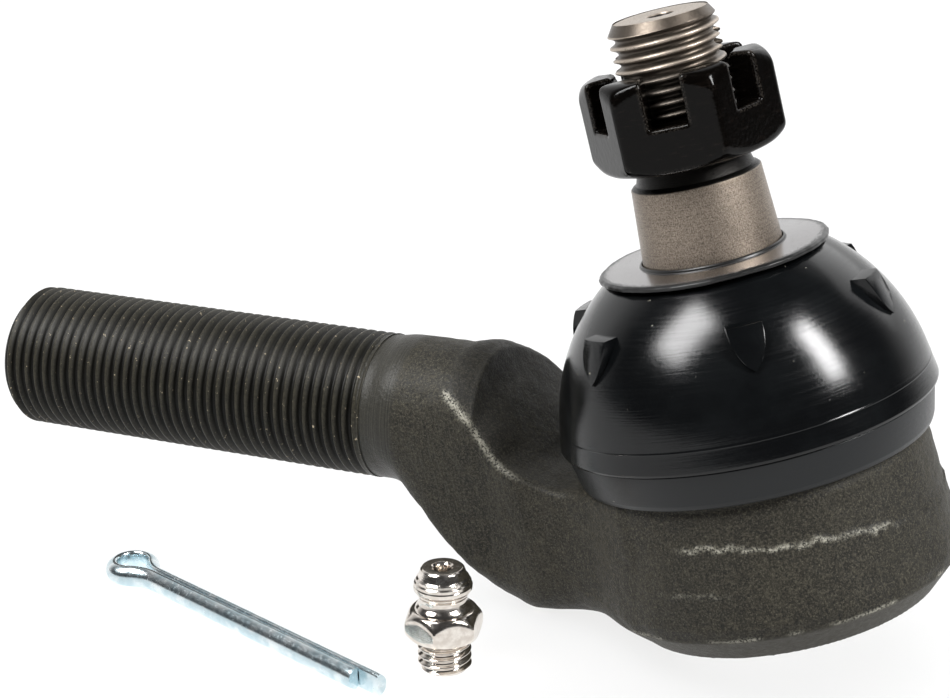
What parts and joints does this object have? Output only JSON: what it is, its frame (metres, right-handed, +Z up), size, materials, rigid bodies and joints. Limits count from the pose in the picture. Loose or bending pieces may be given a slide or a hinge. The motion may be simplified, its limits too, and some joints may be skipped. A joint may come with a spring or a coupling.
{
  "type": "tie rod end",
  "caption": "Greasable tie rod end: forged socket with a threaded shank, domed boot, tapered ball stud, castle nut, loose cotter pin and grease fitting.",
  "frame": {"origin": "centre of the ball, on the socket's axis", "axes": "+Z up from the flat surface that the part lies on, -X along the level threaded shank; the socket's axis leans back 13.9 degrees from +Z"},
  "size_m": [0.1364, 0.0628, 0.0812],
  "materials": {
    "forged_steel": "forged and shot blasted, machined rim and thread",
    "boot_rubber": "satin moulded rubber",
    "disc_plastic": "smooth grey",
    "ring_steel": "plain",
    "stud_steel": "fine ground alloy steel",
    "nut_black": "glossy black phosphate and oil",
    "zinc": "bright zinc plate",
    "sintered": "sintered steel, fine pores",
    "spring_steel": "tempered",
    "plate_steel": "pressed and zinc plated",
    "nickel": "bright nickel plate with turning marks"
  },
  "bodies": {
    "socket": {"forged_housing": "forged_steel", "upper_bearing": "sintered", "cover_plate": "plate_steel", "preload_spring": "spring_steel", "boot_retaining_ring": "ring_steel"},
    "take_up": {"lower_bearing": "sintered"},
    "boot": {"dust_boot": "boot_rubber"},
    "head": {"half_ball_bearing": "sintered", "boot_sealing_disc": "disc_plastic"},
    "stud": {"ball_stud": "stud_steel"},
    "nut": {"castle_nut": "nut_black"},
    "pin": {"cotter_pin": "zinc"},
    "fitting": {"grease_fitting": "nickel", "fitting_spring": "spring_steel"},
    "check_ball": {"fitting_check_ball": "zinc"}
  },
  "joints": [
    {"name": "swing_fore_aft", "type": "hinge", "parent": "socket", "child": "boot", "pos_m": [0, 0, 0], "axis": [0, 1, 0], "range_deg": [-18, 18], "deforming": ["dust_boot"]},
    {"name": "swing_side", "type": "hinge", "parent": "boot", "child": "head", "pos_m": [0, 0, 0], "axis": [0.9707, 0, 0.2402], "range_deg": [-18, 18], "deforming": ["dust_boot"]},
    {"name": "stud_spin", "type": "hinge", "parent": "head", "child": "stud", "pos_m": [0, 0, 0], "axis": [-0.2402, 0, 0.9707], "continuous": true},
    {"name": "nut_travel", "type": "slide", "parent": "stud", "child": "nut", "axis": [-0.2402, 0, 0.9707], "range_m": [0, 0.02]},
    {"name": "bearing_take_up", "type": "slide", "parent": "socket", "child": "take_up", "axis": [-0.2402, 0, 0.9707], "range_m": [-0.0004, 0], "stiffness_N_per_m": 2000, "deforming": ["preload_spring"]},
    {"name": "pin_lift", "type": "slide", "parent": "socket", "child": "pin", "axis": [0, 0, 1], "range_m": [0, 0.015]},
    {"name": "fitting_lift", "type": "slide", "parent": "socket", "child": "fitting", "axis": [0, 0, 1], "range_m": [0, 0.04]},
    {"name": "check_ball_travel", "type": "slide", "parent": "fitting", "child": "check_ball", "axis": [0, 0, 1], "range_m": [-0.0008, 0], "stiffness_N_per_m": 5, "deforming": ["fitting_spring"]}
  ]
}
